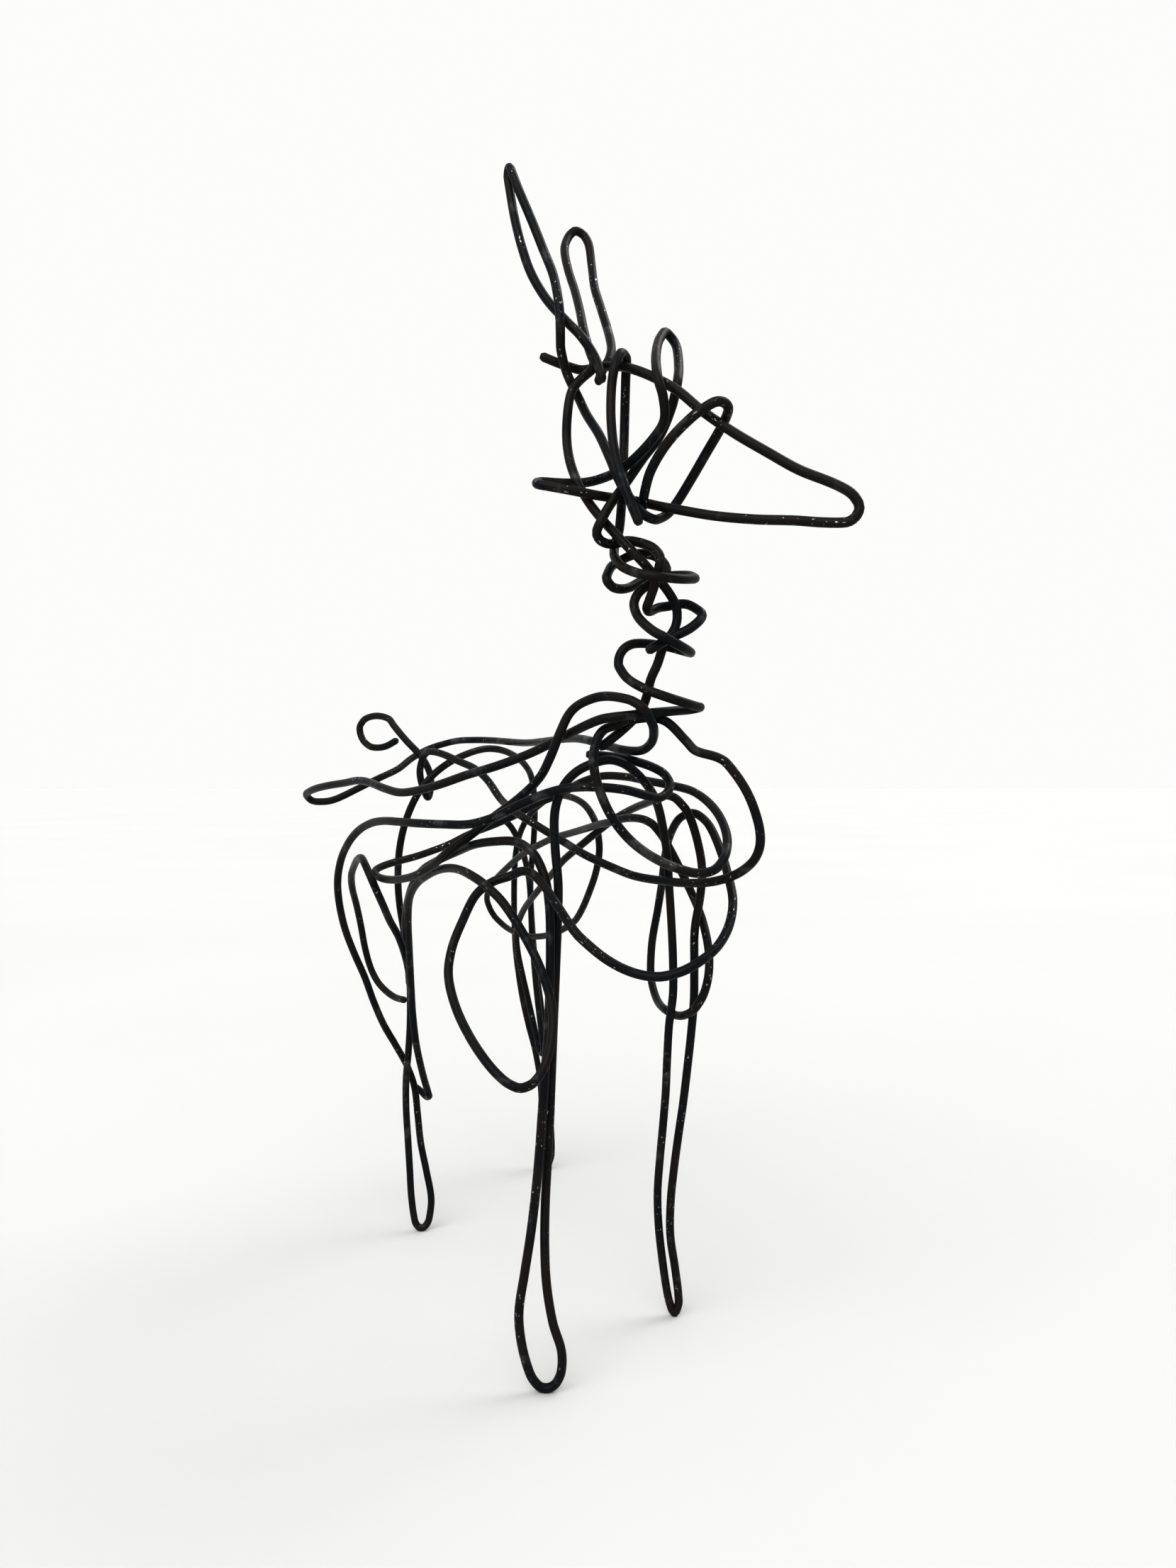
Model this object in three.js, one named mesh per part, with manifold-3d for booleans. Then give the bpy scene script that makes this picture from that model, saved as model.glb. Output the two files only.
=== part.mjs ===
// A standing doe, bent freehand from seven lengths of black annealed steel wire.
// The figure is an open cage: the wires cross, hook round each other and lean together,
// and it stands on four hairpin feet. Millimetres, +Z up.
//
// How the pose is written down: it was drawn on an upright pane of glass between the eye
// and the figure. A point [across, up, away] lies "across" to the right of the eye and "up"
// above the eye's level on that pane, and is then pushed along its line of sight until it is
// "away" from the eye. Strands that cross on the pane are told apart by their third number.

import * as THREE from 'three';
import Module from 'manifold-3d';
import { mergeVertices } from 'three/addons/utils/BufferGeometryUtils.js';

// Driving dimensions
const WIRE = 1.6;
const CLEARANCE = 0.35;
const FOOT_WEAR = 0.12;
const PANE = 160.9;
const EYE_HEIGHT = 104;

// How finely a wire is drawn: no step longer than LONGEST_STEP, no turn sharper than SHARPEST_TURN
const SIDES = 6;
const LONGEST_STEP = 7;
const SHARPEST_TURN = THREE.MathUtils.degToRad(30);
const SAMPLES_PER_SPAN = 16;

// How crossing strands are eased apart: stretches of one wire nearer along the wire than
// OWN_BEND_LENGTH belong to the same bend and are left alone
const OWN_BEND_LENGTH = 4 * WIRE;
const EASING_ROUNDS = 160;
const FINAL_ROUNDS = 60;
const EVENING_OUT = 0.2;

// Steps this nearly side by side count as parallel; corners this close count as one
const NEARLY_PARALLEL = 1e-9;
const SAME_CORNER = 1e-5;

// The lowest point of a foot, with the middle of the wire at its resting height. All four feet
// lie on one level, so on the pane a foot that is farther away is drawn less far down.
function foot(across, away) {
  const height = WIRE / 2 - FOOT_WEAR;
  return [across, ((height - EYE_HEIGHT) * PANE) / away, away];
}

// Wire 1: crown, nose, jaw, back along the cheek, up round the brow, down to a collar
// under the cheek, and the front of the throat
const PROFILE_WIRE = [
  [-6.7, 60.4, 197], [-5.5, 59.8, 197], [-4, 59.3, 197.2], [-2.5, 58.8, 198],
  [-1, 58.4, 198.5], [1, 58.7, 196.5], [2.5, 58.9, 194], [3.8, 58.9, 191.5], [5.5, 58.8, 189],
  [7, 58.3, 187], [8.5, 57.7, 186], [9.8, 57.1, 185], [11, 56.5, 184], [12.5, 55.6, 182.5],
  [14.5, 53.9, 181], [16, 52.7, 180], [18.5, 50.9, 179], [20.5, 49.6, 178.5], [23, 48.1, 178],
  [26, 46.4, 177], [28.5, 45, 176], [31, 43.7, 175.5], [33.5, 42.8, 175], [35.5, 42, 174.5],
  [37, 41.1, 174], [37.9, 40.1, 174], [38.3, 39, 174], [37.9, 37.9, 174], [37, 37.1, 174.5],
  [35.5, 36.8, 175], [33, 36.9, 176], [30, 37.1, 178], [27, 37.3, 179.5], [24, 37.3, 181],
  [21, 37.5, 182.5], [18, 37.8, 184], [15, 38.3, 185.5], [12, 38.8, 186.5], [9.5, 39.3, 188.3],
  [7.5, 39.8, 189.5], [5, 40.1, 190.3], [3.5, 40.4, 190.2], [2, 40.6, 189.5],
  [-0.5, 40.9, 188.5], [-3, 41.6, 188], [-5.5, 42, 188], [-6.8, 42.2, 188.4],
  [-7.3, 42.4, 190], [-6.8, 42.6, 191.8], [-5.5, 42.6, 192.3], [-3, 42.4, 192.8],
  [-1.5, 42.4, 193.2], [0, 42.6, 193.2], [2, 43.1, 192.2], [3.8, 43.9, 190.5],
  [5, 44.6, 189.5], [6, 45.4, 188.8], [7.5, 46.8, 187.6], [9, 48.6, 186.4],
  [10.2, 50.1, 185.4], [10.8, 51.6, 184.6], [10.8, 53.6, 183.6], [10.4, 55.4, 182.9],
  [9.9, 57.1, 182.7], [9.6, 59.1, 184.5], [9.6, 60.6, 187.5], [9.9, 62.3, 191],
  [11, 63.7, 194.5], [12.2, 62.3, 195], [12.7, 60.6, 193], [12.8, 58.6, 189.5],
  [12.6, 56.6, 186], [12.2, 54.6, 185.8], [11.8, 53.1, 186.2], [11.2, 51.4, 187],
  [10.3, 49.4, 187.8], [9.2, 47.6, 188.4], [7.5, 45.6, 188.6], [6, 43.4, 188.2],
  [4.8, 41.6, 188.1], [3.8, 40.3, 188], [2.5, 38.4, 187.5], [1.7, 36.8, 187.3],
  [1.2, 35.4, 188], [1.7, 34.4, 188.8], [2.7, 33.9, 189.5], [3.8, 33.9, 190], [5.5, 34.3, 189],
  [7.5, 34, 187.5], [9, 33.4, 186.3], [10, 32.4, 185.5], [10.2, 31.3, 185.3],
  [9.8, 30.1, 185.7], [9.4, 28.1, 186.8], [8.8, 26.3, 188], [8.3, 24.9, 188.5],
  [8.6, 24.3, 190], [9.7, 24.8, 192], [11.5, 25.1, 193], [13.5, 25.4, 192.5],
  [15.2, 24.8, 191], [16.1, 23.8, 189.5], [15.5, 22.8, 188.5], [14, 21.7, 188],
  [12.5, 21, 188], [11, 20.3, 187.7], [9.5, 19.4, 187.2], [8.3, 18.7, 187],
];

// Wire 2: the near ear, a long narrow loop, then down behind the cheek, under the chin and
// round the muzzle
const NEAR_EAR_WIRE = [
  [2.1, 56.8, 190.5], [1.7, 58.4, 191], [1, 60.1, 191.5], [0, 61.9, 191.5],
  [-1.2, 63.4, 191.5], [-2.5, 64.7, 192], [-4, 66.3, 193.3], [-5.8, 68.3, 194.5],
  [-7.3, 70.6, 195.5], [-8.5, 73.1, 196], [-9.3, 75.6, 197], [-10, 78.1, 198],
  [-10.5, 80.6, 199], [-11, 83.6, 200], [-11.3, 85.8, 201], [-11.1, 86.9, 200.3],
  [-10.4, 85.4, 198.9], [-9.3, 82.6, 198], [-8.2, 80.1, 197.5], [-7.2, 77.6, 197],
  [-6, 74.6, 195.5], [-5, 72.1, 194], [-4.4, 69.6, 192.3], [-4, 66.6, 191],
  [-3.9, 63.6, 191.5], [-3.8, 61.1, 193.5], [-3.2, 58.6, 195], [-2.4, 56.6, 196.5],
  [-1.5, 54.8, 197], [-0.2, 52.1, 195], [1.5, 49.4, 191.5], [2.8, 46.6, 188.5],
  [3.8, 44.4, 187], [5, 41.6, 186.2], [6.3, 39.8, 185.8], [7.3, 38.5, 185.8],
  [8.4, 37.7, 186.2], [9.5, 37.3, 187], [11, 37.9, 188.5], [12, 39, 189], [12.8, 40.1, 189],
  [14.5, 42.9, 187.5], [16, 45.6, 185.5], [18, 48.8, 183], [18.8, 50.3, 181.6],
  [19.3, 51.4, 180.3], [19.8, 52.8, 178.5], [19.5, 53.6, 177.5], [18.6, 54, 176.8],
  [17.5, 53.7, 176.6], [16, 52.8, 177.3], [14.5, 51.6, 178.3], [12.8, 49.9, 179.3],
  [10.8, 47.6, 180.8], [9.6, 45.6, 182.2], [8.7, 43.8, 183.4], [8.1, 41.6, 184.7],
  [7.8, 40.1, 186], [7.7, 38.7, 187.9],
];

// Wire 3: the far ear, the back of the cheek and the line of the nape down to the withers
const NAPE_WIRE = [
  [1.4, 56.5, 197], [1.8, 57.8, 197.3], [2.4, 59, 196.8], [3.1, 60.1, 198], [3.3, 61.1, 199.5],
  [3, 63.1, 203], [2.3, 65.6, 206], [1.5, 68.1, 209], [0.8, 70.6, 212], [0.4, 74.1, 215],
  [0.1, 76.1, 216], [-0.7, 77.5, 216.5], [-1.8, 78, 216], [-2.8, 77.1, 215], [-3.3, 75.6, 213],
  [-3.1, 73.6, 211], [-2.3, 71.1, 208], [-1.6, 68.6, 205], [-1, 66.1, 201], [-0.4, 63.1, 197],
  [0.2, 61.1, 194.8], [0.8, 59.5, 193.6], [0.6, 58.5, 193.6], [-0.2, 57.8, 194.5],
  [-1.2, 56.9, 195], [-2.2, 55.6, 194.8], [-2.7, 53.6, 194], [-3, 51.1, 194], [-3, 48.6, 194],
  [-2.7, 46.1, 193], [-2.1, 44.1, 191.8], [-1.4, 42.4, 191], [-0.5, 40.6, 190.7],
  [0.8, 38.8, 189.8], [2, 37.3, 189.3], [3.2, 36, 188.3], [4.5, 34.6, 187.5], [6, 33.1, 187],
  [7.3, 31.8, 186.8], [8.5, 30.4, 187], [9.4, 29.4, 187.9], [10.2, 28.6, 188.6],
  [11.5, 26.8, 189.8], [12.3, 25.4, 190.5], [12.6, 23.8, 190.8], [12.3, 22.1, 190.8],
  [11.5, 20.8, 190.3], [10.5, 19.1, 190], [9.8, 16.9, 190], [9.1, 15.5, 190.3],
  [8.7, 14.1, 190.9], [8.2, 12.1, 191.2], [7.7, 10.8, 192], [7, 9.8, 193.2], [6, 8.6, 193.5],
  [4, 6.9, 192.8], [2.2, 5.5, 192.3], [1.6, 5, 192.3],
];

// Wire 4: a cut end under the jaw, up the cheek to a hairpin at the crown, down in turns
// round the neck, along the near flank to the rump, back along the far flank, round the
// shoulder, under the belly to the hip and forward again, a spiral on the chest, the far side
// of the barrel and the tail
const CHEEK_AND_NECK = [
  [7.3, 36.6, 182.8], [6.3, 39, 183], [5.4, 41.3, 183.6], [4.6, 43.8, 184.5],
  [3.8, 46.6, 185.6], [3.4, 49.6, 187], [3.2, 52.6, 188.3], [3.3, 55.6, 189],
  [3.6, 58.1, 189.2], [4.1, 60, 190.2], [4.8, 60.8, 191.4], [5.4, 60.1, 192.3],
  [5.4, 58.8, 192.2], [5.3, 56.6, 192.8], [5.2, 52.6, 194], [5.1, 48.6, 194.3], [5, 45.6, 193],
  [4.9, 42.6, 192.7], [4.8, 40.6, 192.7], [4.6, 37.6, 191.8], [4.3, 35.4, 191.2],
  [3.8, 33.8, 192], [3.7, 32.3, 190.5], [4.4, 31, 188], [5.6, 30.3, 185.8], [7.5, 29.6, 184],
  [9.5, 29.3, 183.4], [12, 29, 184.5], [14, 28.9, 187], [15.1, 29, 190], [14.2, 29.4, 193],
  [12, 29.4, 195.3], [9.5, 29.1, 195.5], [7.5, 28.6, 193.5], [6.3, 27.9, 192],
  [5, 27.5, 190], [3.6, 27.7, 188.8], [2.7, 28.7, 187.5], [2.8, 29.9, 189.3],
  [3.6, 30.9, 191.3], [5, 31.7, 191.5], [6.2, 32.3, 190.6], [7.5, 32.5, 190], [9, 32.3, 189.6],
  [10.4, 31.5, 189.6], [11.1, 30.2, 190], [10.6, 29.1, 190.6], [9.5, 28.5, 190.8],
  [8.2, 27.9, 190.2], [7.1, 26.9, 189.6], [6.5, 25.6, 189.4], [6.7, 24.3, 189], [7.5, 23, 187.5],
  [9, 21.7, 186], [11, 20.6, 185.3], [12.8, 19.6, 186.3], [14, 18.9, 188.5], [14.5, 18.5, 191],
  [13.6, 18.7, 193.5], [11.8, 19.2, 194.5], [10, 19.6, 194.5], [7.5, 19.9, 193.5],
  [5.5, 19.4, 192.5], [4.5, 18.2, 192], [4.3, 16.9, 192], [4.9, 15.6, 191], [6.2, 14.4, 189.5],
  [8.5, 13.2, 188.2], [11, 12.3, 188], [13.5, 11.5, 189], [15, 11, 191], [15.8, 10.8, 193],
  [14.5, 10.5, 193.5], [12.5, 10.3, 192], [10.5, 10.2, 190], [8, 9.9, 188.8], [6, 9.7, 188.8],
];

const NEAR_FLANK = [
  [4.0, 9.5, 189], [1.8, 9.1, 189.8], [-1.0, 7.9, 193.6], [-4.0, 6.4, 198.6], [-7.0, 4.8, 201.6],
  [-10.0, 3.6, 203], [-13.0, 2.5, 204], [-17.0, 1.3, 206], [-21.0, -0.1, 209.5],
  [-24.0, -0.9, 214], [-26.5, -1.2, 218.5], [-28.5, -0.7, 223], [-30.5, 0.1, 229],
  [-32.0, 0.5, 233.5], [-34.0, 0.2, 239], [-37.0, -0.3, 246], [-39.0, -0.9, 253],
  [-39.7, -1.6, 258],
];

const FAR_FLANK = [
  [-38.8, -2.4, 260], [-37.2, -2.5, 260], [-35.5, -2.1, 259.5], [-33.0, -0.9, 260.5],
  [-30.5, 0.3, 262.5], [-28.5, 1.3, 265.5], [-26.3, 2.4, 270], [-24.2, 4.1, 275],
  [-22.0, 5.1, 278.5], [-19.0, 6.0, 280], [-16.0, 6.2, 279], [-13.0, 6.1, 273],
  [-9.0, 5.8, 258], [-5.5, 6.1, 240], [-2.5, 6.4, 224], [-0.5, 6.3, 215], [1.2, 5.8, 210],
  [3.0, 5.3, 206.5], [5.0, 4.8, 203], [7.0, 4.6, 200], [8.5, 5.3, 197], [9.3, 6.8, 193],
  [9.0, 8.6, 188.8], [8.0, 10.4, 187.2],
];

const NEAR_SHOULDER_AND_BELLY = [
  [6.7, 11.5, 187.6], [5.0, 12.1, 189], [2.8, 12.4, 191], [0.5, 12.0, 193.5],
  [-1.5, 11.0, 195.5], [-3.0, 9.4, 196.5], [-4.0, 7.1, 197], [-5.0, 4.6, 197.5],
  [-6.0, 2.1, 199], [-7.5, 0.1, 201], [-9.5, -1.8, 203], [-11.5, -3.3, 204.2],
  [-14.0, -5.2, 206], [-16.5, -7.2, 208.5], [-19.0, -9.0, 211.5], [-21.5, -11.1, 215.5],
  [-23.3, -12.4, 219], [-25.3, -13.2, 224], [-27.5, -13.5, 231], [-29.2, -13.3, 237],
  [-30.1, -12.6, 241], [-29.6, -11.9, 244], [-28.2, -11.3, 246.5], [-25.5, -10.6, 250],
  [-23.0, -9.8, 253], [-20.0, -8.7, 254], [-17.0, -7.2, 253], [-14.5, -6.2, 251],
  [-12.0, -5.3, 248.5], [-9.5, -4.0, 246],
];

const CHEST_SPIRAL = [
  [-7.0, -2.7, 243.5], [-5.0, -1.9, 241.5], [-3.0, -1.0, 239.5], [-1.5, 0.0, 237.5],
  [0.5, 0.8, 235], [3.0, 1.2, 232], [6.0, 0.9, 228], [9.5, 0.2, 222], [13.0, -0.5, 216],
  [15.5, -1.4, 211.5], [17.7, -3.4, 206], [19.1, -5.7, 200.5], [19.7, -8.4, 196.5],
  [19.2, -10.4, 193.5], [18.0, -12.0, 191.5], [16.0, -12.6, 190.3], [13.0, -12.1, 190],
  [10.0, -10.8, 190], [7.0, -8.9, 190], [4.8, -6.6, 190], [3.2, -4.4, 189.6],
  [2.2, -2.2, 189.3], [1.3, 0.1, 189.2], [0.8, 2.1, 189.2], [0.8, 4.1, 189.3],
  [1.2, 6.1, 189.7], [2.2, 7.6, 190.3], [3.6, 8.2, 191.3], [5.5, 8.9, 191.6],
  [7.5, 9.3, 191.5], [9.5, 9.3, 191.4],
  [11.0, 8.8, 191.2], [12.5, 7.6, 191], [13.8, 6.1, 191], [15.0, 4.8, 191], [17.0, 4.1, 191],
  [19.0, 3.4, 191], [21.0, 1.1, 191], [22.8, -1.9, 191], [24.0, -5.4, 191.5],
  [24.3, -8.4, 192.5], [23.3, -10.9, 194.5], [21.0, -12.7, 197], [18.0, -13.7, 199.5],
];

const FAR_BARREL_AND_TAIL = [
  [15.0, -14.0, 203], [11.0, -13.7, 208.5], [7.0, -13.1, 214], [4.0, -12.0, 218],
  [1.0, -10.7, 221], [-1.5, -9.4, 223], [-4.0, -7.8, 226], [-7.0, -6.0, 229],
  [-9.5, -4.4, 231.5], [-11.5, -3.1, 234], [-13.0, -1.1, 237], [-14.5, 0.9, 240],
  [-16.2, 2.3, 244], [-19.0, 3.5, 250], [-21.8, 4.6, 255], [-23.0, 4.2, 257.5],
  [-23.7, 2.1, 258.5], [-23.4, -0.2, 259], [-22.6, -1.9, 260.5], [-22.2, -0.6, 262.5],
  [-22.2, 1.1, 263], [-23.0, 3.1, 263.5], [-24.2, 4.6, 264], [-25.8, 6.3, 264.5],
  [-27.0, 7.6, 265.5], [-28.0, 9.1, 267], [-29.8, 9.6, 269.5], [-31.5, 9.1, 272],
  [-32.2, 7.9, 273.5], [-31.8, 6.3, 273.5], [-30.5, 5.2, 272], [-28.2, 5.4, 269.5],
  [-26.9, 6.2, 268],
];

// Wire 5: a hooked end at the shoulder, the near side of the barrel, the near haunch, the
// near hind foot and the small loop on the haunch
const HAUNCH_WIRE = [
  [-0.2, 4.2, 198], [1.5, 4.0, 198.8], [5.0, 3.6, 200], [8.0, 2.8, 201.3], [10.5, 1.6, 201.5],
  [11.5, 0.2, 200.2], [11.2, -1.2, 198.4], [9.8, -2.0, 196.5], [8.0, -1.5, 195],
  [5.0, -0.8, 193.2], [2.0, -0.5, 192.6], [-1.5, -0.4, 193], [-4.0, -0.9, 194],
  [-7.0, -1.7, 196.5], [-10.0, -3.1, 199], [-13.0, -4.6, 201.5], [-16.2, -5.6, 203],
  [-19.0, -5.7, 205], [-23.0, -5.6, 209], [-26.0, -5.4, 214], [-28.5, -5.2, 220],
  [-31.0, -5.7, 228], [-33.0, -7.2, 234.5], [-34.5, -9.7, 240], [-35.2, -12.4, 244],
  [-35.3, -14.9, 247], [-34.8, -18.4, 250], [-33.8, -21.9, 253], [-32.3, -25.4, 256],
  [-30.9, -28.7, 258.5], [-29.8, -31.9, 261], [-28.3, -34.9, 264], [-26.8, -37.4, 266.5],
  [-25.6, -39.6, 268.5], [-24.7, -41.9, 269.5], [-24.2, -44.4, 269.5], [-23.9, -48.4, 269],
  [-23.2, -52.9, 268], [-22.4, -56.4, 267], [-22.1, -59.4, 266.5], [-22.5, -61.6, 266],
  [-22.9, -62.3, 265.8], foot(-23.5, 265.5), [-24.1, -62.3, 265.4], [-24.5, -61.4, 265.3],
  [-24.9, -58.4, 265], [-25.2, -53.4, 265],
  [-25.5, -48.4, 265], [-25.7, -44.4, 265], [-25.6, -40.4, 265], [-25.3, -37.4, 265],
  [-25.1, -33.4, 263.5], [-25.1, -29.4, 260.5], [-25.3, -26.4, 257], [-25.9, -23.9, 253.5],
  [-26.8, -21.4, 249.5], [-27.9, -19.4, 246], [-29.0, -16.9, 240.5], [-30.2, -14.2, 237.5],
  [-31.2, -11.9, 238.5], [-32.0, -10.4, 244], [-33.0, -11.6, 255], [-33.4, -13.4, 262],
  [-33.0, -15.9, 268], [-32.3, -18.4, 272], [-31.8, -21.4, 275], [-31.0, -24.9, 277],
  [-30.0, -27.4, 277], [-28.5, -29.2, 275.5], [-27.0, -30.2, 272], [-25.8, -30.5, 268],
];

// Wire 6: from the near haunch forward under the barrel, the near front leg, over the
// shoulder, the far front leg, back under the belly and the far hock
const FRONT_LEGS_WIRE = [
  [-25.2, -26.0, 259.6], [-25.5, -23.4, 257], [-25.8, -20.4, 252.5], [-25.7, -17.9, 247],
  [-25.2, -15.6, 239.5], [-24.5, -13.7, 232.5], [-23.2, -12.0, 225], [-21.2, -10.8, 219.5],
  [-19.0, -9.8, 215], [-17.0, -8.9, 210.5], [-15.0, -8.3, 206], [-12.5, -8.1, 203],
  [-10.5, -8.1, 201], [-8.8, -8.8, 199.6], [-7.4, -10.2, 199], [-6.5, -12.1, 198.2],
  [-5.8, -14.4, 197.6], [-5.4, -17.9, 196.4], [-5.3, -23.4, 195.6], [-5.4, -29.4, 194.8],
  [-5.7, -36.4, 194.2], [-6.2, -42.4, 194], [-6.8, -51.4, 194], [-7.8, -61.4, 194.4],
  [-9.0, -69.4, 195], [-9.7, -74.1, 195], [-9.8, -76.2, 195], [-9.3, -79.3, 195],
  [-8.6, -82.2, 195], [-7.8, -83.9, 195], [-6.9, -84.95, 195], foot(-5.9, 195),
  [-4.9, -84.9, 195], [-4.1, -83.9, 195], [-3.7, -82.4, 195], [-3.7, -80.2, 195],
  [-4.5, -77.9, 195], [-5.7, -71.9, 195], [-6.1, -65.4, 195], [-6.0, -58.4, 196],
  [-5.5, -49.4, 196.4], [-5.1, -39.4, 196.8], [-4.7, -29.4, 197.4], [-4.3, -19.4, 198.4],
  [-4.2, -14.4, 198.2], [-4.6, -9.4, 198.4], [-4.8, -5.4, 198.4], [-4.4, -2.6, 198.2],
  [-3.2, 0.1, 197.6], [-1.5, 1.8, 197], [1.0, 3.0, 196.6], [3.3, 3.4, 197], [5.5, 2.6, 198],
  [7.5, 0.8, 200], [9.0, -1.1, 202.5], [10.0, -3.6, 206], [10.7, -6.9, 209],
  [11.2, -10.4, 211], [11.5, -15.4, 213], [11.9, -22.4, 214], [12.0, -29.4, 214.5],
  [11.4, -34.4, 216], [10.9, -44.4, 219], [10.1, -53.4, 221.5], [9.8, -59.4, 222.8],
  [10.4, -66.4, 223.2], [11.3, -72.4, 223.2], [11.6, -73.7, 223.1],
  foot(12.2, 223), [12.7, -73.8, 222.9], [12.8, -72.6, 222.8],
  [12.3, -68.4, 222.6], [11.6, -63.4, 222.4], [11.7, -58.4, 222], [12.5, -51.4, 221],
  [13.5, -44.4, 219], [14.3, -37.4, 217.2], [14.9, -31.4, 216.2], [15.0, -26.4, 215.4],
  [15.0, -21.4, 214.8], [15.5, -17.2, 214.4], [16.1, -14.4, 214], [16.0, -10.9, 213.4],
  [15.5, -8.4, 212.8], [14.8, -5.7, 212], [13.8, -3.6, 211.4], [12.3, -2.0, 211.5],
  [11.0, -1.6, 213.5], [9.8, -2.0, 218], [8.5, -2.6, 224], [6.3, -3.5, 233], [3.8, -4.9, 240],
  [1.5, -6.6, 244], [-0.5, -8.3, 247.5], [-3.0, -10.3, 253], [-5.0, -12.6, 262],
  [-7.5, -15.6, 275], [-9.3, -18.2, 289], [-10.1, -21.0, 299], [-9.8, -24.4, 303.5],
  [-8.9, -28.4, 305], [-8.0, -32.4, 305], [-7.2, -35.9, 304.6], [-6.7, -37.9, 303.6],
  [-6.3, -37.8, 301.6], [-6.4, -36.4, 300.8], [-7.0, -31.4, 301.4], [-7.6, -25.4, 302],
  [-8.0, -19.4, 302.4],
  [-8.2, -14.4, 301.8], [-8.8, -11.0, 300.4], [-9.6, -8.6, 298], [-10.6, -6.4, 296],
  [-11.9, -5.0, 294.5], [-13.3, -4.0, 293],
];

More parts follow.
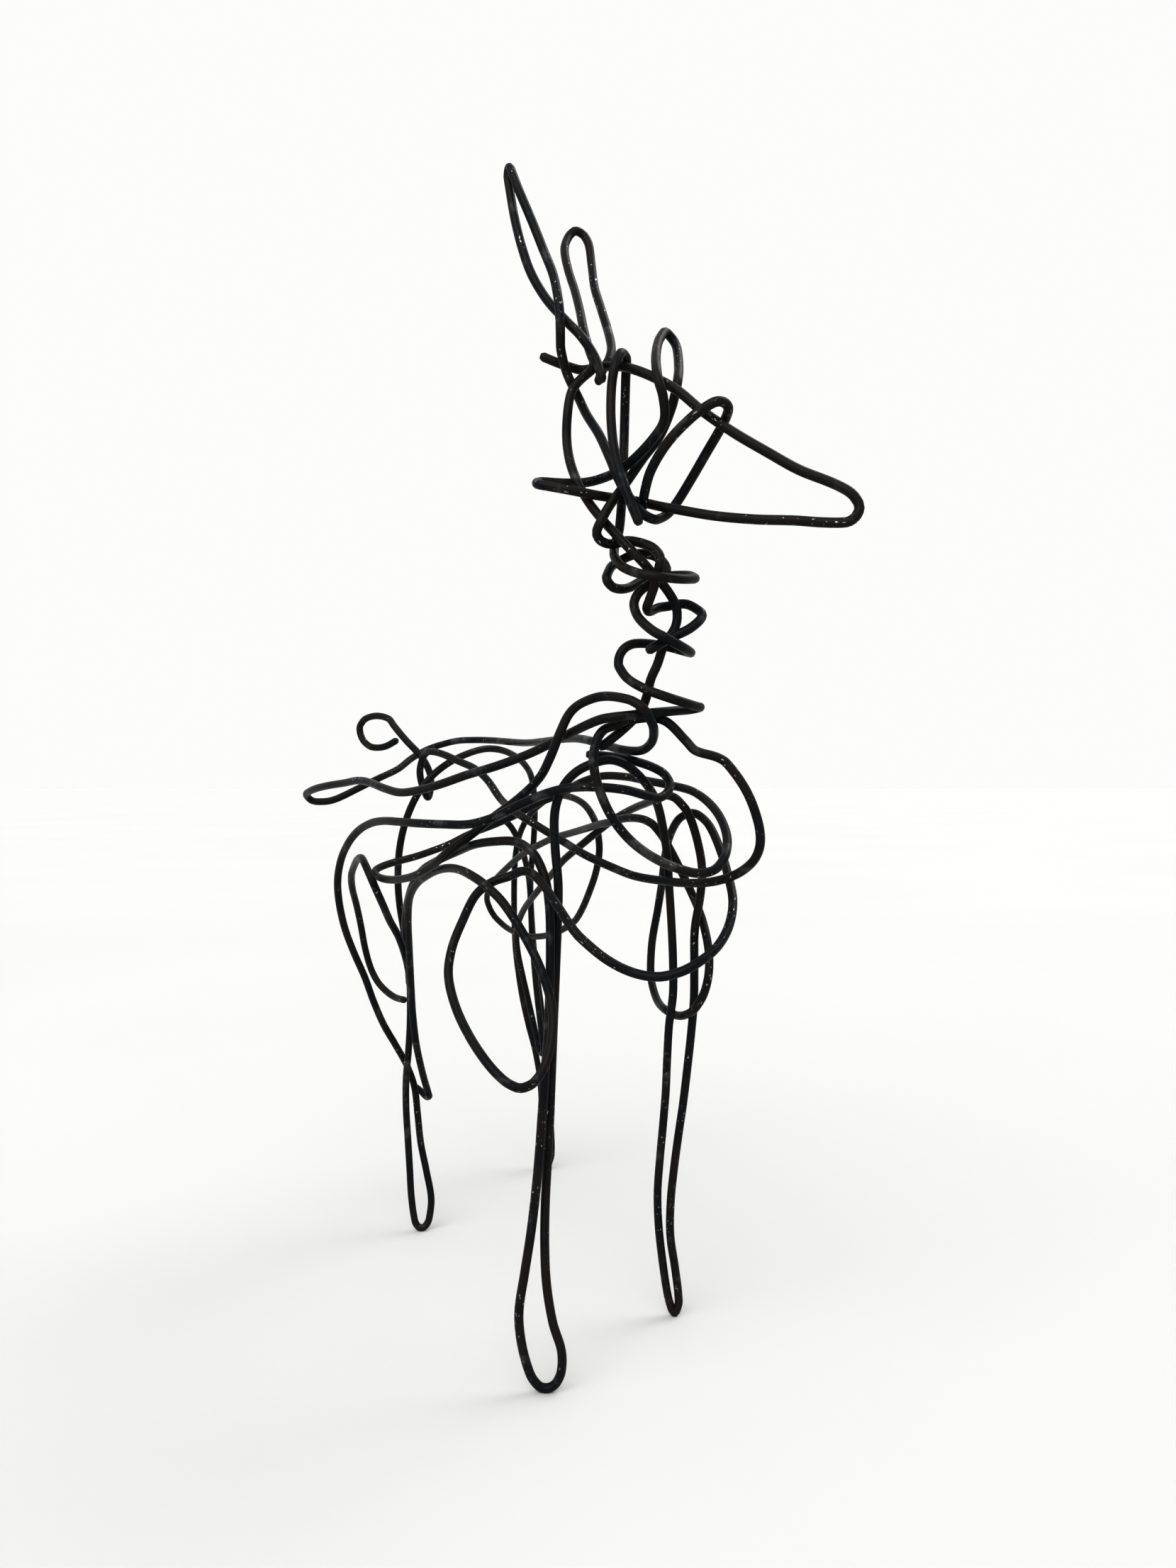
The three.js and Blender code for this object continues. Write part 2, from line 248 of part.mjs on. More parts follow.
// Wire 7: a hooked end at the near hock, up the leg, the big loop hanging at the flank, the
// belly, the far front thigh, the far haunch, the far hind foot and the arch over the rump
const BELLY_WIRE = [
  [-24.5, -42.6, 273.5], [-23.6, -43.3, 273.5], [-22.8, -44.1, 272.5], [-22.4, -44.0, 270.5],
  [-22.7, -43.2, 269], [-23.3, -40.9, 267], [-24.0, -37.9, 263], [-24.5, -34.9, 261],
  [-24.8, -31.4, 259], [-25.0, -27.9, 256], [-25.2, -23.9, 251.5], [-25.4, -19.4, 245.5],
  [-25.2, -16.2, 239.5], [-24.4, -14.4, 233], [-23.0, -13.1, 225.5], [-21.0, -12.1, 216.5],
  [-19.0, -11.9, 209], [-17.0, -12.6, 202], [-15.0, -13.9, 198.4], [-13.0, -15.6, 197],
  [-11.0, -18.1, 196], [-9.0, -21.4, 195], [-7.3, -24.6, 194], [-6.0, -28.2, 193],
  [-5.1, -31.4, 192], [-5.0, -34.9, 190.6], [-5.5, -37.9, 189.4], [-6.5, -40.6, 188],
  [-8.0, -42.4, 186.4], [-9.7, -42.9, 185.4], [-11.5, -42.1, 185.4], [-13.6, -40.1, 186.6],
  [-16.0, -36.8, 190], [-18.0, -33.1, 193.6], [-19.3, -29.4, 196.4], [-19.7, -26.4, 198.4],
  [-19.2, -23.2, 200], [-18.2, -20.6, 200.8], [-17.3, -18.4, 201], [-16.2, -16.2, 201],
  [-15.0, -14.8, 200.8], [-13.0, -13.6, 200.6], [-11.0, -13.0, 200.2], [-9.3, -12.3, 199.4],
  [-7.8, -12.7, 198], [-6.5, -14.0, 196], [-5.0, -16.2, 193.6], [-3.3, -18.7, 190],
  [-1.8, -20.9, 187], [0.5, -23.2, 186], [3.0, -25.0, 185.6], [6.0, -26.5, 185.6],
  [9.0, -27.2, 185], [12.0, -26.9, 184.4], [14.5, -25.8, 184.6], [17.0, -24.2, 186.6],
  [19.0, -21.9, 190], [20.2, -18.9, 194], [20.4, -15.9, 198], [19.8, -13.1, 202],
  [18.8, -9.7, 206.5], [17.6, -6.7, 210], [16.2, -4.8, 213], [14.7, -4.1, 215.4],
  [13.0, -4.8, 218], [11.8, -6.7, 221.5], [11.0, -9.4, 226], [10.5, -13.4, 230.5],
  [10.0, -16.9, 233], [9.3, -20.4, 234.5], [8.9, -23.9, 235], [8.9, -27.4, 233.5],
  [9.6, -30.1, 229], [11.0, -31.9, 220.5], [12.8, -32.7, 216.5], [14.6, -32.1, 212],
  [16.0, -30.4, 210.5], [17.0, -26.9, 210], [17.0, -23.4, 211.5], [16.4, -20.2, 214.5],
  [15.4, -17.2, 217], [14.0, -14.1, 216.6], [12.7, -11.4, 216], [11.5, -9.1, 215.2],
  [10.3, -7.1, 214.2], [9.0, -5.6, 214.6], [7.0, -4.8, 218], [5.5, -4.8, 221.5],
  [3.5, -5.3, 227], [2.0, -5.6, 233], [0.0, -6.2, 243], [-2.0, -6.8, 253], [-5.0, -7.7, 265],
  [-7.5, -8.9, 275], [-9.5, -10.1, 285], [-11.5, -11.9, 295], [-13.0, -13.4, 303],
  [-14.0, -14.9, 309], [-14.2, -16.6, 313], [-13.3, -18.5, 315], [-11.7, -20.1, 312],
  [-9.7, -21.1, 303], [-8.0, -21.5, 295.5], [-5.5, -21.3, 285], [-3.2, -20.3, 276.5],
  [-1.5, -18.9, 270.5], [-0.2, -16.1, 264.5], [1.0, -12.9, 260], [1.6, -9.4, 258],
  [1.3, -6.4, 258.5], [0.5, -4.2, 261], [-1.0, -2.5, 265.5], [-2.5, -1.9, 270.5],
  [-4.5, -1.6, 278], [-6.5, -2.7, 285.5], [-8.0, -4.1, 291], [-9.1, -5.8, 296],
  [-9.8, -7.7, 300.5], [-10.2, -9.9, 304], [-10.4, -13.4, 307], [-10.4, -18.4, 308.5],
  [-10.2, -23.4, 309], [-9.7, -27.4, 309.5], [-8.8, -32.4, 310], [-7.5, -37.4, 310],
  [-6.7, -42.4, 309.6], [-6.5, -48.4, 309], [-6.5, -51.9, 308.5], [-6.3, -53.2, 308.2],
  foot(-5.8, 308), [-5.3, -53.2, 307.8],
  [-5.1, -51.9, 307.6], [-5.2, -48.4, 307.6], [-5.7, -42.4, 308], [-6.0, -37.4, 308],
  [-6.6, -31.4, 307.6], [-7.4, -25.4, 307.2], [-7.9, -19.4, 306.4], [-8.1, -13.4, 304.6],
  [-7.7, -8.4, 301.4], [-7.5, -3.9, 296], [-7.8, 0.1, 289], [-8.4, 2.0, 284], [-9.5, 3.3, 279],
  [-11.2, 4.4, 272], [-13.5, 5.0, 266], [-16.0, 4.6, 261], [-18.5, 3.6, 257.5],
  [-20.5, 2.4, 255.4], [-22.5, 0.6, 254], [-24.0, -1.4, 253.6], [-25.2, -3.9, 254],
  [-26.2, -6.9, 255], [-26.7, -10.4, 256], [-26.8, -14.4, 257.4], [-26.4, -18.4, 259.6],
  [-25.8, -21.9, 261.6], [-25.4, -25.4, 263.6], [-25.2, -28.4, 265.4],
];

// The steel: black from annealing, rubbed grey where it was handled
const STEEL = { color: 0x2b2a29, roughness: 0.42, metalness: 0.85 };

// A pane point as a place in space, with the eye at the origin of the plan
function place([across, up, away]) {
  const spread = away / PANE;
  return new THREE.Vector3(across * spread, away, EYE_HEIGHT + up * spread);
}

// Points along a wire: close together in its bends, far apart where it runs straight
function strand(points) {
  const places = points.map(place);
  const curve = new THREE.CatmullRomCurve3(places, false, 'centripetal');
  const fine = curve.getPoints((places.length - 1) * SAMPLES_PER_SPAN);
  const effort = [0];
  for (let i = 1; i < fine.length; i += 1) {
    const step = fine[i].distanceTo(fine[i - 1]);
    let turn = 0;
    if (i < fine.length - 1) {
      const before = fine[i].clone().sub(fine[i - 1]);
      const after = fine[i + 1].clone().sub(fine[i]);
      turn = before.angleTo(after);
    }
    effort.push(effort[i - 1] + Math.hypot(step / LONGEST_STEP, turn / SHARPEST_TURN));
  }
  const total = effort[effort.length - 1];
  const steps = Math.ceil(total);
  const kept = [];
  let at = 0;
  for (let s = 0; s <= steps; s += 1) {
    const wanted = (total * s) / steps;
    while (at < fine.length - 2 && effort[at + 1] < wanted) {
      at += 1;
    }
    const share = (wanted - effort[at]) / (effort[at + 1] - effort[at]);
    kept.push(fine[at].clone().lerp(fine[at + 1], THREE.MathUtils.clamp(share, 0, 1)));
  }
  return kept;
}

// Where two straight steps come closest: the share along each and the gap between them
function closest(a, b, c, d) {
  const u = b.clone().sub(a);
  const v = d.clone().sub(c);
  const w = a.clone().sub(c);
  const uu = u.dot(u);
  const uv = u.dot(v);
  const vv = v.dot(v);
  const uw = u.dot(w);
  const vw = v.dot(w);
  const det = uu * vv - uv * uv;
  let s = det > NEARLY_PARALLEL ? THREE.MathUtils.clamp((uv * vw - vv * uw) / det, 0, 1) : 0.5;
  let t = THREE.MathUtils.clamp((uv * s + vw) / vv, 0, 1);
  s = THREE.MathUtils.clamp((uv * t - uw) / uu, 0, 1);
  t = THREE.MathUtils.clamp((uv * s + vw) / vv, 0, 1);
  const gap = a.clone().lerp(b, s).distanceTo(c.clone().lerp(d, t));
  return { s, t, gap };
}

// Crossing strands are eased apart along the line of sight, the nearer one forward and the
// farther one back, until the wires clear each other; the order in which they pass is kept
function settle(strands) {
  const eye = new THREE.Vector3(0, 0, EYE_HEIGHT);
  const apart = WIRE + CLEARANCE;
  const knots = [];
  const steps = [];
  strands.forEach((points, wire) => {
    let along = 0;
    points.forEach((point, i) => {
      if (i > 0) {
        along += point.distanceTo(points[i - 1]);
        steps.push({ wire, from: knots.length - 1, to: knots.length });
      }
      const sight = point.clone().sub(eye).normalize();
      knots.push({ point, start: point.clone(), sight, along, push: 0, wire });
    });
  });
  const onPane = (knot) => {
    const spread = PANE / knot.start.y;
    return new THREE.Vector3(knot.start.x * spread, 0, (knot.start.z - EYE_HEIGHT) * spread);
  };
  const flat = knots.map(onPane);
  const crossings = [];
  for (let i = 0; i < steps.length; i += 1) {
    const p = steps[i];
    for (let j = i + 1; j < steps.length; j += 1) {
      const q = steps[j];
      const between = knots[q.from].along - knots[p.to].along;
      if (p.wire === q.wire && between < OWN_BEND_LENGTH) {
        continue;
      }
      const seen = closest(flat[p.from], flat[p.to], flat[q.from], flat[q.to]);
      if (seen.gap < apart) {
        const nearP = THREE.MathUtils.lerp(knots[p.from].start.y, knots[p.to].start.y, seen.s);
        const nearQ = THREE.MathUtils.lerp(knots[q.from].start.y, knots[q.to].start.y, seen.t);
        crossings.push({ p, q, order: nearP <= nearQ ? -1 : 1 });
      }
    }
  }
  const shift = (index, amount) => {
    const knot = knots[index];
    knot.push += amount;
    knot.point.copy(knot.start).addScaledVector(knot.sight, knot.push);
  };
  for (let round = 0; round < EASING_ROUNDS + FINAL_ROUNDS; round += 1) {
    for (const { p, q, order } of crossings) {
      const ends = [knots[p.from].point, knots[p.to].point, knots[q.from].point, knots[q.to].point];
      const { s, t, gap } = closest(...ends);
      if (gap < apart) {
        const half = (order * (apart - gap)) / 2;
        shift(p.from, half * (1 - s));
        shift(p.to, half * s);
        shift(q.from, -half * (1 - t));
        shift(q.to, -half * t);
      }
    }
    if (round < EASING_ROUNDS) {
      const pushes = knots.map((knot) => knot.push);
      for (let i = 1; i < knots.length - 1; i += 1) {
        const sameWire = knots[i - 1].wire === knots[i + 1].wire;
        if (sameWire) {
          shift(i, EVENING_OUT * ((pushes[i - 1] + pushes[i + 1]) / 2 - pushes[i]));
        }
      }
    }
  }
}

// A curve through given points that hands them back one by one
class WirePath extends THREE.Curve {
  constructor(points) {
    super();
    this.points = points;
  }

  getUtoTmapping(u) {
    return u;
  }

  getPoint(t, target = new THREE.Vector3()) {
    return target.copy(this.points[Math.round(t * (this.points.length - 1))]);
  }

  getTangent(t, target = new THREE.Vector3()) {
    const last = this.points.length - 1;
    const i = Math.round(t * last);
    const before = this.points[Math.max(i - 1, 0)];
    const after = this.points[Math.min(i + 1, last)];
    const into = this.points[i].clone().sub(before).normalize();
    const outof = after.clone().sub(this.points[i]).normalize();
    return target.copy(into).add(outof).normalize();
  }
}

// The wire's section: its flats, not its corners, lie on the true diameter
function wireSection() {
  const corner = WIRE / 2 / Math.cos(Math.PI / SIDES);
  const corners = [];
  for (let i = 0; i < SIDES; i += 1) {
    const angle = (2 * Math.PI * i) / SIDES;
    corners.push(new THREE.Vector2(corner * Math.cos(angle), corner * Math.sin(angle)));
  }
  return new THREE.Shape(corners);
}

function bentWire(points) {
  const extrudePath = new WirePath(points);
  const steps = points.length - 1;
  return new THREE.ExtrudeGeometry(wireSection(), { steps, bevelEnabled: false, extrudePath });
}

const wasm = await Module();
wasm.setup();

function toSolid(geometry) {
  const bare = geometry.clone();
  bare.deleteAttribute('normal');
  bare.deleteAttribute('uv');
  const merged = mergeVertices(bare, SAME_CORNER);
  const vertProperties = new Float32Array(merged.attributes.position.array);
  const triVerts = new Uint32Array(merged.index.array);
  return new wasm.Manifold(new wasm.Mesh({ numProp: 3, vertProperties, triVerts }));
}

function toGeometry(solid) {
  const { vertProperties, triVerts } = solid.getMesh();
  const geometry = new THREE.BufferGeometry();
  geometry.setAttribute('position', new THREE.BufferAttribute(vertProperties, 3));
  geometry.setIndex(new THREE.BufferAttribute(triVerts, 1));
  geometry.computeVertexNormals();
  return geometry;
}

// The feet are worn flat where they stand: all that reaches below the ground is cut away
function standOnGround(geometry) {
  geometry.computeBoundingBox();
  const box = geometry.boundingBox;
  if (box.min.z >= 0) {
    return geometry;
  }
  const size = box.getSize(new THREE.Vector3());
  const middle = box.getCenter(new THREE.Vector3());
  const below = new THREE.BoxGeometry(size.x + 2 * WIRE, size.y + 2 * WIRE, 2 * WIRE);
  below.translate(middle.x, middle.y, -WIRE);
  return toGeometry(toSolid(geometry).subtract(toSolid(below)));
}

// Each wire is one length of steel, from cut end to cut end
const LENGTHS = {
  profile_wire: PROFILE_WIRE,
  near_ear_wire: NEAR_EAR_WIRE,
  nape_wire: NAPE_WIRE,
  body_wire: [
    ...CHEEK_AND_NECK,
    ...NEAR_FLANK,
    ...FAR_FLANK,
    ...NEAR_SHOULDER_AND_BELLY,
    ...CHEST_SPIRAL,
    ...FAR_BARREL_AND_TAIL,
  ],
  haunch_wire: HAUNCH_WIRE,
  front_legs_wire: FRONT_LEGS_WIRE,
  belly_wire: BELLY_WIRE,
};

// Sets the figure down: its lowest wires press into the ground by the wear of a foot
function setDown(strands) {
  const points = strands.flat();
  const lowest = Math.min(...points.map((point) => point.z));
  points.forEach((point) => {
    point.z += WIRE / 2 - FOOT_WEAR - lowest;
  });
}

function buildDoe() {
  const names = Object.keys(LENGTHS);
  const strands = names.map((name) => strand(LENGTHS[name]));
  settle(strands);
  setDown(strands);
  const doe = new THREE.Group();
  names.forEach((name, i) => {
    const geometry = standOnGround(bentWire(strands[i]));
    const mesh = new THREE.Mesh(geometry, new THREE.MeshStandardMaterial(STEEL));
    mesh.name = name;
    doe.add(mesh);
  });
  const box = new THREE.Box3().setFromObject(doe);
  const middle = box.getCenter(new THREE.Vector3());
  doe.position.set(-middle.x, -middle.y, 0);
  return doe;
}

export default buildDoe();
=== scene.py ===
import itertools
import math

import bmesh
import bpy
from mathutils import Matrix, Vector, noise


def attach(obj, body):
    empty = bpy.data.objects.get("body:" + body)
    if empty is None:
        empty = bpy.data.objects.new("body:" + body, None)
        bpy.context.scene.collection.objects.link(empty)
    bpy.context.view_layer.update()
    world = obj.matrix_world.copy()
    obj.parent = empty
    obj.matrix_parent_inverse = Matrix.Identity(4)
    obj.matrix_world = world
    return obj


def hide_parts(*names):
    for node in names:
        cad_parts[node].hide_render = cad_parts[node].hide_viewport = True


MM = 0.001

# The wire
WIRE_RADIUS = 0.8 * MM
SOLID_CORNER_RADIUS = WIRE_RADIUS / math.cos(math.pi / 6)
SOLID_SIDES = 6
STEP = 0.55 * MM
ROUNDNESS = 4
SHEARED_LENGTH = 0.5 * MM
SHEARED_WIDTH = 0.62
UNEVENNESS = 0.012
UNEVEN_EVERY = 9 * MM
SEEDS_APART = 3.7
SCALE_RELIEF = 0.04 * MM
GROUND_CUT = 0.0001 * MM
CREASE = math.radians(50)

# How a solid is read: corners this close are one, faces this parallel are one flat, a cut end may
# be out of round by this length and a section by this share, three corners this nearly in line
# say nothing, and corners lower than this are where the ground cut the wire
SAME_CORNER = 0.0005 * MM
ONE_FLAT = 0.99999
END_OUT_OF_ROUND = 0.03 * MM
SECTION_OUT_OF_ROUND = 0.02
NEARLY_IN_LINE = 0.1 * MM * MM
AT_GROUND = 0.01 * MM

# The light: the room's own, and for each soft pane the way to it, how wide its edge and its
# core are in degrees, and how strong it is
ROOM_LIGHT = 0.98
PANES = (
    ((-0.30, -0.75, 0.66), 42, 20, 3.1),
    ((0.55, 0.30, 0.85), 22, 8, 5.0),
)

# The eye of the photograph and the picture that it makes
EYE = (11.132 * MM, -244.181 * MM, 104 * MM)
PHOTO_HEIGHT_PX = 2212
FOCAL_PX = 1609
SENSOR = 36
NEAREST_SEEN = 10 * MM
DISPLAY_GAMMA = 0.76
TABLE_SIZE = 60


# Shader maths


class Value:
    """A number that the material works out: sums and products on it add their own nodes."""

    def __init__(self, maker, socket):
        self.maker = maker
        self.socket = socket

    def maths(self, operation, first, second=None):
        inputs = {0: first}
        if second is not None:
            inputs[1] = second
        made = self.maker.node("ShaderNodeMath", {"operation": operation}, inputs)
        return Value(self.maker, made.outputs[0])

    def __add__(self, other):
        return self.maths("ADD", self, other)

    def __radd__(self, other):
        return self.maths("ADD", other, self)

    def __sub__(self, other):
        return self.maths("SUBTRACT", self, other)

    def __rsub__(self, other):
        return self.maths("SUBTRACT", other, self)

    def __mul__(self, other):
        return self.maths("MULTIPLY", self, other)

    def __rmul__(self, other):
        return self.maths("MULTIPLY", other, self)

    def between(self, low, high):
        """0 below low, 1 above high, smooth in the middle."""
        inputs = {0: self, 1: low, 2: high}
        made = self.maker.node("ShaderNodeMapRange", {"interpolation_type": "SMOOTHSTEP"}, inputs)
        return Value(self.maker, made.outputs[0])


class Nodes:
    """The node tree of a material or a world, and the one place where its nodes are made."""

    def __init__(self, owner):
        owner.use_nodes = True
        self.tree = owner.node_tree

    def node(self, kind, settings=None, inputs=None):
        made = self.tree.nodes.new(kind)
        for name, value in (settings or {}).items():
            setattr(made, name, value)
        for key, value in (inputs or {}).items():
            self.feed(made.inputs[key], value)
        return made

    def feed(self, socket, value):
        if isinstance(value, Value):
            self.tree.links.new(value.socket, socket)
        elif isinstance(value, bpy.types.NodeSocket):
            self.tree.links.new(value, socket)
        else:
            socket.default_value = value


class Finish(Nodes):
    """The node material of one finish, and the patterns that it is mixed from."""

    def __init__(self, name):
        self.material = bpy.data.materials.new(name)
        super().__init__(self.material)
        self.shader = self.tree.nodes["Principled BSDF"]

    def surface(self, **sockets):
        for name, value in sockets.items():
            self.feed(self.shader.inputs[name.replace("_", " ")], value)

    def grain(self, where, scale, detail=3.0, roughness=0.55):
        """Noise from 0 to 1, with about so many grains in each unit of where."""
        inputs = {"Vector": where, "Scale": scale, "Detail": detail, "Roughness": roughness}
        return Value(self, self.node("ShaderNodeTexNoise", {}, inputs).outputs[0])

    def blend(self, share, first, second):
        """A colour: first where share is 0, second where it is 1."""
        made = self.node("ShaderNodeMix", {"data_type": "RGBA"})
        self.feed(made.inputs[0], share)
        self.feed(made.inputs[6], first)
        self.feed(made.inputs[7], second)
        return made.outputs[2]

    def stretched(self, where, scale):
        """The place where, drawn out or pressed together along each axis."""
        made = self.node("ShaderNodeVectorMath", {"operation": "MULTIPLY"}, {0: where, 1: scale})
        return made.outputs[0]


def black_annealed_steel():
    """Blue-black and warm black oxide, with faint draw lines, rubbed and nicked in places."""
    steel = Finish("black_annealed_steel")
    place = steel.node("ShaderNodeTexCoord").outputs["Object"]
    run = steel.node("ShaderNodeAttribute", {"attribute_name": "run"}).outputs["Vector"]

    patches = steel.grain(place, 95.0, 2.0).between(0.40, 0.62)
    scale = steel.grain(place, 900.0, 4.0, 0.6)
    flecks = steel.grain(place, 2600.0, 2.0).between(0.60, 0.74)
    lines = steel.grain(steel.stretched(run, (0.12, 3.2, 3.2)), 1.0, 3.0, 0.7)
    worn = steel.grain(place, 210.0, 3.0).between(0.58, 0.72)
    nicks = steel.grain(steel.stretched(run, (1.1, 1.9, 1.9)), 1.0, 1.0).between(0.675, 0.74)
    nicks = nicks * steel.grain(place, 130.0, 1.0).between(0.50, 0.60)

    oxide = steel.blend(patches, (0.0036, 0.0050, 0.0072, 1), (0.0130, 0.0100, 0.0068, 1))
    oxide = steel.blend(scale.between(0.35, 0.75) * 0.55, oxide, (0.0120, 0.0125, 0.0130, 1))
    rubbed = steel.blend(worn * 0.8, oxide, (0.055, 0.056, 0.058, 1))
    bare = steel.blend(nicks, rubbed, (0.30, 0.30, 0.31, 1))

    height = scale * 0.5 + lines * 0.9 + flecks * 0.25 - nicks * 0.4
    relief = {"Strength": 0.35, "Distance": SCALE_RELIEF, "Height": height}
    bump = steel.node("ShaderNodeBump", {}, relief)
    rough = 0.27 + scale * 0.20 - worn * 0.10 - nicks * 0.16 + flecks * 0.12
    steel.surface(
        Base_Color=bare,
        Metallic=worn * 0.3 + nicks * 0.7,
        Roughness=rough,
        Specular_IOR_Level=0.11,
        Normal=bump.outputs[0],
    )
    return steel.material


def pale_table():
    paper = Finish("pale_table")
    place = paper.node("ShaderNodeTexCoord").outputs["Object"]
    cloud = paper.grain(place, 3.0, 2.0)
    tone = paper.blend(cloud.between(0.3, 0.7), (0.486, 0.486, 0.482, 1), (0.496, 0.496, 0.492, 1))
    paper.surface(
        Base_Color=tone,
        Roughness=0.85,
        Emission_Color=(1, 1, 0.99, 1),
        Emission_Strength=0.035,
    )
    return paper.material


# The wires


def merged_copy(node):
    """The node's solid with its corners joined and numbered, as a loose bmesh."""
    solid = bmesh.new()
    solid.from_mesh(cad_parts[node].data)
    bmesh.ops.remove_doubles(solid, verts=solid.verts, dist=SAME_CORNER)
    solid.verts.index_update()
    return solid


def cut_ends(solid):
    """The two flat hexagons where the wire was cut, each as its set of corners."""
    ends = []
    seen = set()
    for face in solid.faces:
        if face in seen:
            continue
        group = {face}
        front = [face]
        while front:
            here = front.pop()
            for edge in here.edges:
                for other in edge.link_faces:
                    if other not in group and other.normal.dot(face.normal) > ONE_FLAT:
                        group.add(other)
                        front.append(other)
        seen |= group
        corners = {v for f in group for v in f.verts}
        if len(corners) != SOLID_SIDES:
            continue
        middle = sum((v.co for v in corners), Vector()) / SOLID_SIDES
        reaches = [(v.co - middle).length for v in corners]
        if all(abs(reach - SOLID_CORNER_RADIUS) < END_OUT_OF_ROUND for reach in reaches):
            ends.append(corners)
    return ends


def section_centre(corners):
    """The middle of the hexagon that these corners are on, though some may be cut away."""
    for a, b, c in itertools.combinations([v.co for v in corners], 3):
        u, v = b - a, c - a
        w = u.cross(v)
        if w.length < NEARLY_IN_LINE:
            continue
        reach = w.cross(u) * v.length_squared + v.cross(w) * u.length_squared
        reach /= 2 * w.length_squared
        if abs(reach.length - SOLID_CORNER_RADIUS) < SECTION_OUT_OF_ROUND * SOLID_CORNER_RADIUS:
            return a + reach
    return None


def centre_line(node):
    """Points along the middle of a wire, from one cut end to the other."""
    solid = merged_copy(node)
    ring = cut_ends(solid)[0]
    done = set()
    line = []
    while ring:
        done |= ring
        above_ground = [v for v in ring if v.co.z > AT_GROUND]
        middle = section_centre(sorted(above_ground, key=lambda v: v.index))
        if middle is not None:
            line.append(middle)
        ring = {edge.other_vert(v) for v in ring for edge in v.link_edges} - done
    solid.free()
    return line


def smooth_run(points):
    """The centre line drawn evenly and finely through its points."""
    fine = []
    count = len(points)
    for i in range(count - 1):
        a = points[max(i - 1, 0)]
        b, c = points[i], points[i + 1]
        d = points[min(i + 2, count - 1)]
        span = (c - b).length
        into = (c - a) * (span / ((b - a).length + span))
        outof = (d - b) * (span / (span + (d - c).length))
        pieces = max(1, round(span / STEP))
        for k in range(pieces):
            t = k / pieces
            fine.append(
                b * (2 * t**3 - 3 * t**2 + 1)
                + into * (t**3 - 2 * t**2 + t)
                + c * (3 * t**2 - 2 * t**3)
                + outof * (t**3 - t**2)
            )
    fine.append(points[-1])
    return fine


def thickness(along, length, seed):
    """How full the wire is at one place: a little uneven, and pinched where it was sheared."""
    uneven = 1 + UNEVENNESS * noise.noise(Vector((along / UNEVEN_EVERY, seed, 0.0)))
    to_end = min(along, length - along)
    if to_end < SHEARED_LENGTH:
        share = to_end / SHEARED_LENGTH
        return uneven * (SHEARED_WIDTH + (1 - SHEARED_WIDTH) * math.sin(share * math.pi / 2))
    return uneven


def only(piece):
    bpy.ops.object.select_all(action="DESELECT")
    piece.select_set(True)
    bpy.context.view_layer.objects.active = piece


def bent_length(name, node, seed, steel):
    """One length of wire, round in section, from cut end to cut end."""
    run = smooth_run(centre_line(node))
    along = [0.0]
    for before, after in zip(run, run[1:]):
        along.append(along[-1] + (after - before).length)
    bpy.ops.curve.primitive_nurbs_path_add(location=(0, 0, 0))
    piece = bpy.context.object
    piece.name = name
    drawn = piece.data
    drawn.splines.clear()
    drawn.dimensions = "3D"
    drawn.bevel_depth = WIRE_RADIUS
    drawn.bevel_resolution = ROUNDNESS
    drawn.use_fill_caps = True
    drawn.twist_mode = "MINIMUM"
    spline = drawn.splines.new("POLY")
    spline.points.add(len(run) - 1)
    for knot, place, at in zip(spline.points, run, along):
        knot.co = (*place, 1.0)
        knot.radius = thickness(at, along[-1], seed)
    only(piece)
    bpy.ops.object.convert(target="MESH")
    piece = bpy.context.object
    piece.name = name
    mark_run(piece, run, along)
    flatten_feet(piece)
    only(piece)
    bpy.ops.object.shade_smooth_by_angle(angle=CREASE)
    piece.data.materials.clear()
    piece.data.materials.append(steel)
    return piece


def mark_run(piece, run, along):
    """Writes on each corner how far along the wire it lies, and on which side, in wire radii."""
    mesh = piece.data
    around = len(mesh.vertices) // len(run)
    marks = mesh.attributes.new("run", "FLOAT_VECTOR", "POINT")
    for i in range(len(mesh.vertices)):
        at = min(i // around, len(run) - 1)
        angle = 2 * math.pi * (i % around) / around
        marks.data[i].vector = (along[at] / WIRE_RADIUS, math.cos(angle), math.sin(angle))


def flatten_feet(piece):
    """The underside of a foot is worn flat on the ground: what reaches below it is cut away."""
    if min(v.co.z for v in piece.data.vertices) >= 0:
        return
    only(piece)
    bpy.ops.object.mode_set(mode="EDIT")
    bpy.ops.mesh.select_all(action="SELECT")
    bpy.ops.mesh.bisect(
        plane_co=(0, 0, 0),
        plane_no=(0, 0, 1),
        use_fill=True,
        clear_inner=True,
        threshold=GROUND_CUT,
    )
    bpy.ops.object.mode_set(mode="OBJECT")


# The set


def table():
    bpy.ops.object.select_all(action="DESELECT")
    bpy.ops.mesh.primitive_plane_add(size=TABLE_SIZE, location=(0, 0, 0))
    floor = bpy.context.object
    floor.name = "table_top"
    floor.data.materials.append(pale_table())


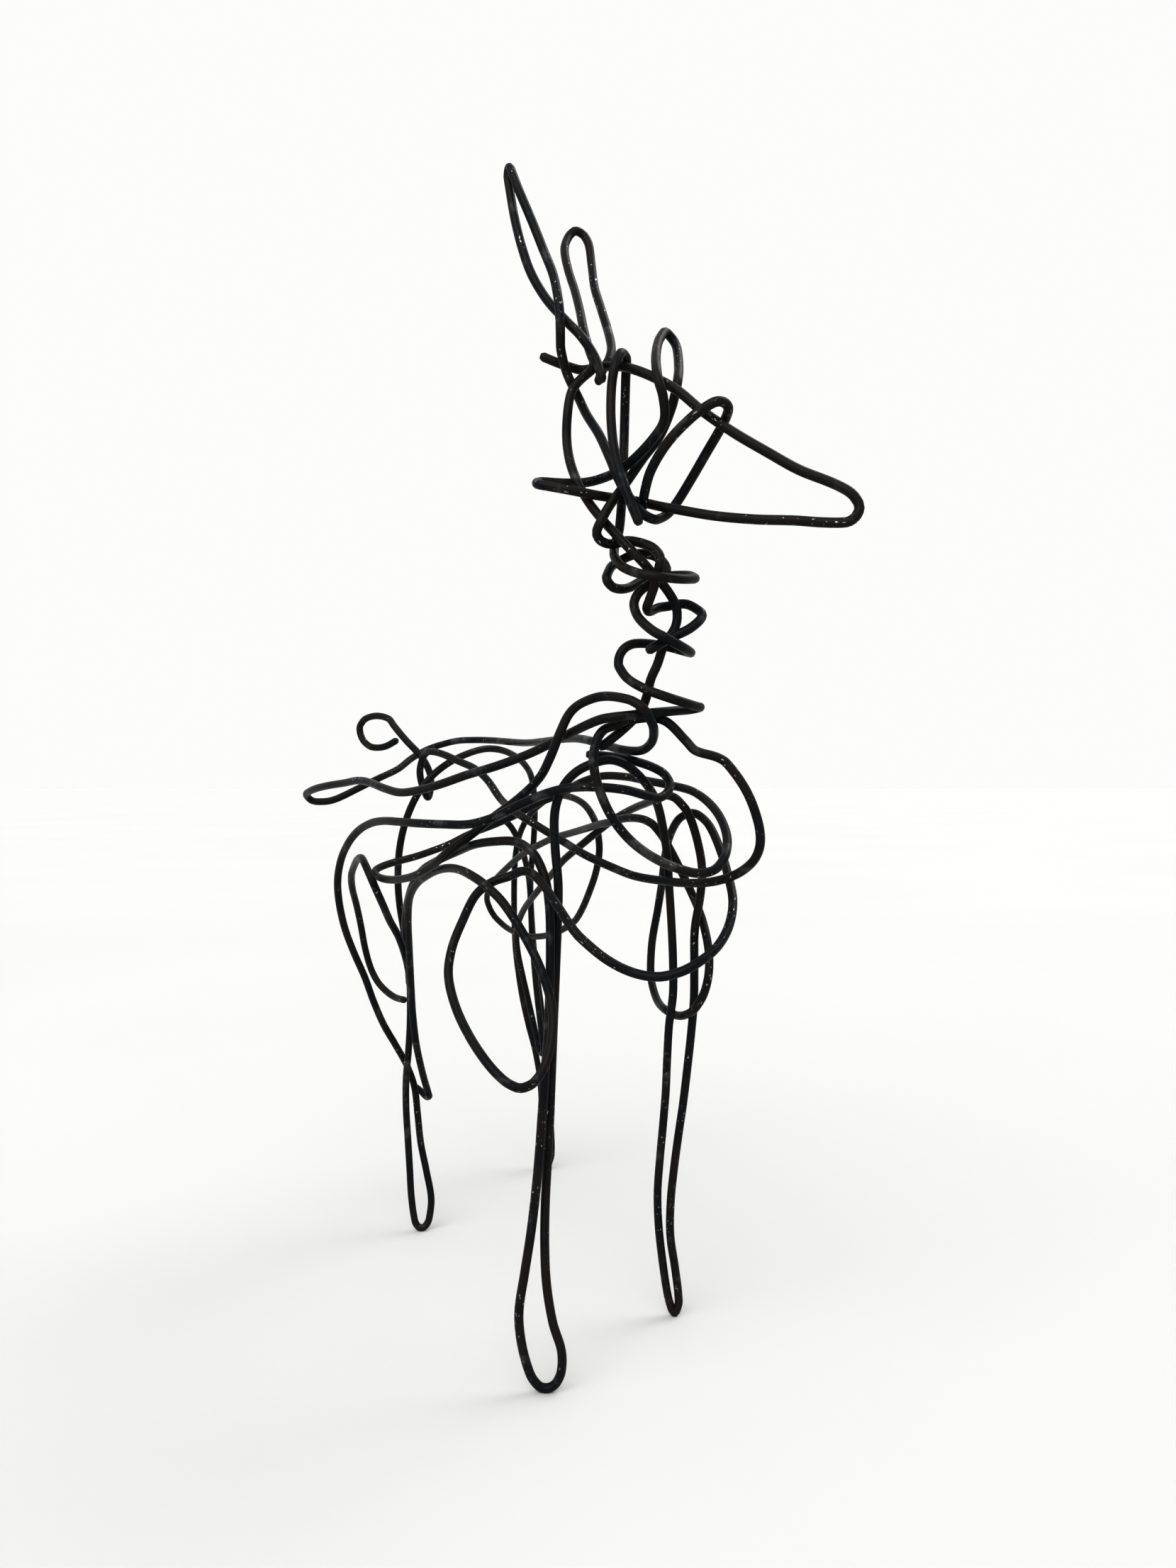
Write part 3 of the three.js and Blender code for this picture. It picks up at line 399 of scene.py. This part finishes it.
def studio():
    """A white room with two soft panes of light: high on the left in front, and high behind."""
    world = bpy.data.worlds.new("white_room")
    room = Nodes(world)
    look = room.node("ShaderNodeTexCoord").outputs["Generated"]
    light = ROOM_LIGHT
    for toward, edge, core, strength in PANES:
        way = {0: look, 1: Vector(toward).normalized()}
        made = room.node("ShaderNodeVectorMath", {"operation": "DOT_PRODUCT"}, way)
        facing = Value(room, made.outputs["Value"])
        light = light + strength * facing.between(
            math.cos(math.radians(edge)), math.cos(math.radians(core))
        )
    back = room.tree.nodes["Background"]
    room.feed(back.inputs["Color"], (1.0, 1.0, 0.995, 1))
    room.feed(back.inputs["Strength"], light)
    bpy.context.scene.world = world
    bpy.context.scene.view_settings.view_transform = "Standard"
    bpy.context.scene.view_settings.gamma = DISPLAY_GAMMA


def eye():
    lens = bpy.data.cameras.new("photo_eye")
    lens.sensor_width = SENSOR
    lens.lens = FOCAL_PX * SENSOR / PHOTO_HEIGHT_PX
    lens.clip_start = NEAREST_SEEN
    camera = bpy.data.objects.new("photo_eye", lens)
    camera.location = EYE
    camera.rotation_euler = (math.pi / 2, 0, 0)
    bpy.context.scene.collection.objects.link(camera)
    bpy.context.scene.camera = camera


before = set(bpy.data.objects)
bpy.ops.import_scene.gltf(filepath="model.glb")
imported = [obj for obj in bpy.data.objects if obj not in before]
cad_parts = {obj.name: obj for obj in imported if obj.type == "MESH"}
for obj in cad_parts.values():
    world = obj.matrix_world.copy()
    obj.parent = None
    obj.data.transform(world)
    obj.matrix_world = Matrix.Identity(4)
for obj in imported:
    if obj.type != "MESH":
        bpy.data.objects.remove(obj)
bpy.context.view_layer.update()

LENGTHS = {
    "head_profile_length": "profile_wire",
    "near_ear_length": "near_ear_wire",
    "far_ear_and_nape_length": "nape_wire",
    "neck_and_flanks_length": "body_wire",
    "near_haunch_length": "haunch_wire",
    "front_legs_length": "front_legs_wire",
    "belly_and_hind_leg_length": "belly_wire",
}

steel = black_annealed_steel()
for order, (name, node) in enumerate(LENGTHS.items()):
    length = bent_length(name, node, SEEDS_APART * order, steel)
    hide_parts(node)
    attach(length, "root")

eye()
table()
studio()
